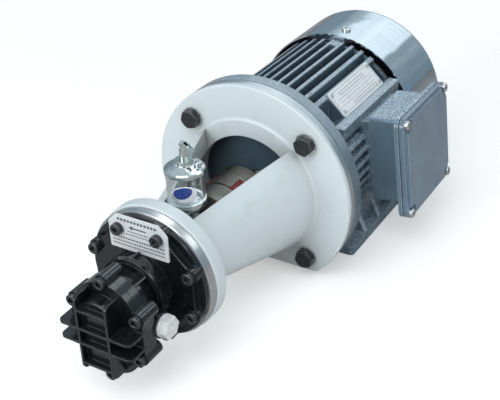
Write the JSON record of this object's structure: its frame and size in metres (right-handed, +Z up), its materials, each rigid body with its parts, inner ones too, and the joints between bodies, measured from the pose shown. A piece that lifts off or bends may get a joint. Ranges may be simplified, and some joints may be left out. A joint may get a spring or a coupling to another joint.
{
  "type": "metering pump",
  "caption": "Gear metering pump on a bell housing with a drip oiler, driven through a claw coupling by a finned foot-mounted electric motor.",
  "frame": {"origin": "centre of the four foot holes, on the plane that the feet rest on", "axes": "+Z up, +Y along the shaft from the pump head to the motor's fan, +X towards the terminal box"},
  "size_m": [0.2327, 0.482, 0.18],
  "materials": {
    "motor_paint": "satin",
    "box_paint": "satin",
    "bell_paint": "satin",
    "black_paint": "satin",
    "polished_steel": "polished",
    "machined_aluminium": "turned",
    "bright_steel": "ground",
    "zinc_steel": "zinc plated",
    "black_steel": "black oxide",
    "core_steel": "laminated",
    "winding": "enamelled copper",
    "sintered": "satin",
    "red_rubber": "matt",
    "black_rubber": "matt",
    "fan_plastic": "matt",
    "block_plastic": "matt",
    "gland_plastic": "matt",
    "white_plastic": "gloss",
    "brass": "plated",
    "bronze": "bored",
    "plate_metal": "anodised",
    "oiler_metal": "polished",
    "glass": "clear"
  },
  "bodies": {
    "pump_unit": {"motor_housing": "motor_paint", "motor_feet": "motor_paint", "foot_screws": "zinc_steel", "drive_end_shield": "motor_paint", "rear_end_shield": "motor_paint", "end_shield_screws": "zinc_steel", "stator_core": "core_steel", "stator_windings": "winding", "motor_bearing_outer_rings": "bright_steel", "fan_cowl": "polished_steel", "cowl_screws": "zinc_steel", "terminal_box_base": "box_paint", "terminal_box_gasket": "black_rubber", "terminal_box_cover": "box_paint", "terminal_box_screws": "zinc_steel", "terminal_block": "block_plastic", "terminal_studs": "brass", "cable_gland": "gland_plastic", "motor_nameplate": "plate_metal", "nameplate_rivets": "plate_metal", "bell_housing": "bell_paint", "flange_bolts": "black_steel", "flange_washers": "zinc_steel", "pump_bearing_outer_rings": "bright_steel", "bearing_circlip": "black_steel", "shaft_seal": "black_rubber", "mounting_ring": "machined_aluminium", "adapter_cover": "black_paint", "adapter_screws": "black_steel", "pump_nameplate": "plate_metal", "gear_housing": "black_paint", "gear_bushes": "bronze", "housing_seal": "black_rubber", "front_cover": "black_paint", "cover_screws": "black_steel", "port_plugs": "white_plastic", "oiler_base": "oiler_metal", "oiler_glass": "glass", "oiler_lid": "oiler_metal"},
    "drive_line": {"rotor_core": "core_steel", "motor_shaft": "bright_steel", "shaft_key": "bright_steel", "motor_bearing_inner_rings": "bright_steel", "cooling_fan": "fan_plastic", "motor_coupling_hub": "sintered", "pump_coupling_hub": "sintered", "coupling_spider": "red_rubber", "coupling_set_screws": "black_steel", "pump_shaft": "bright_steel", "pump_bearing_inner_rings": "bright_steel", "drive_gear": "bright_steel"},
    "driven_line": {"driven_gear": "bright_steel", "driven_shaft": "bright_steel"},
    "needle": {"oiler_needle": "oiler_metal", "oiler_lever_pin": "oiler_metal"},
    "snap_lever": {"oiler_lever": "oiler_metal"},
    "adjusting_nut": {"oiler_adjusting_nut": "oiler_metal"},
    "filler_cap": {"oiler_filler_cap": "oiler_metal"}
  },
  "joints": [
    {"name": "drive_spin", "type": "hinge", "parent": "pump_unit", "child": "drive_line", "pos_m": [0, 0, 0.08], "axis": [0, 1, 0], "continuous": true},
    {"name": "driven_spin", "type": "hinge", "parent": "pump_unit", "child": "driven_line", "pos_m": [0, 0, 0.053], "axis": [0, 1, 0], "continuous": true},
    {"name": "needle_lift", "type": "slide", "parent": "pump_unit", "child": "needle", "axis": [0, 0, 1], "range_m": [0, 0.004]},
    {"name": "lever_tilt", "type": "hinge", "parent": "needle", "child": "snap_lever", "pos_m": [0, -0.212, 0.1717], "axis": [0, 1, 0], "range_deg": [-124, 0]},
    {"name": "nut_turn", "type": "hinge", "parent": "pump_unit", "child": "adjusting_nut", "pos_m": [0, -0.212, 0.156], "axis": [0, 0, 1], "range_deg": [-180, 180]},
    {"name": "cap_swivel", "type": "hinge", "parent": "pump_unit", "child": "filler_cap", "pos_m": [0.012, -0.209, 0.155], "axis": [0, 0, 1], "range_deg": [0, 120]}
  ],
  "couplings": [
    {"joint": "driven_spin", "follows": "drive_spin", "ratio": -1},
    {"joint": "needle_lift", "follows": "lever_tilt", "m_per_rad": -0.000924}
  ]
}
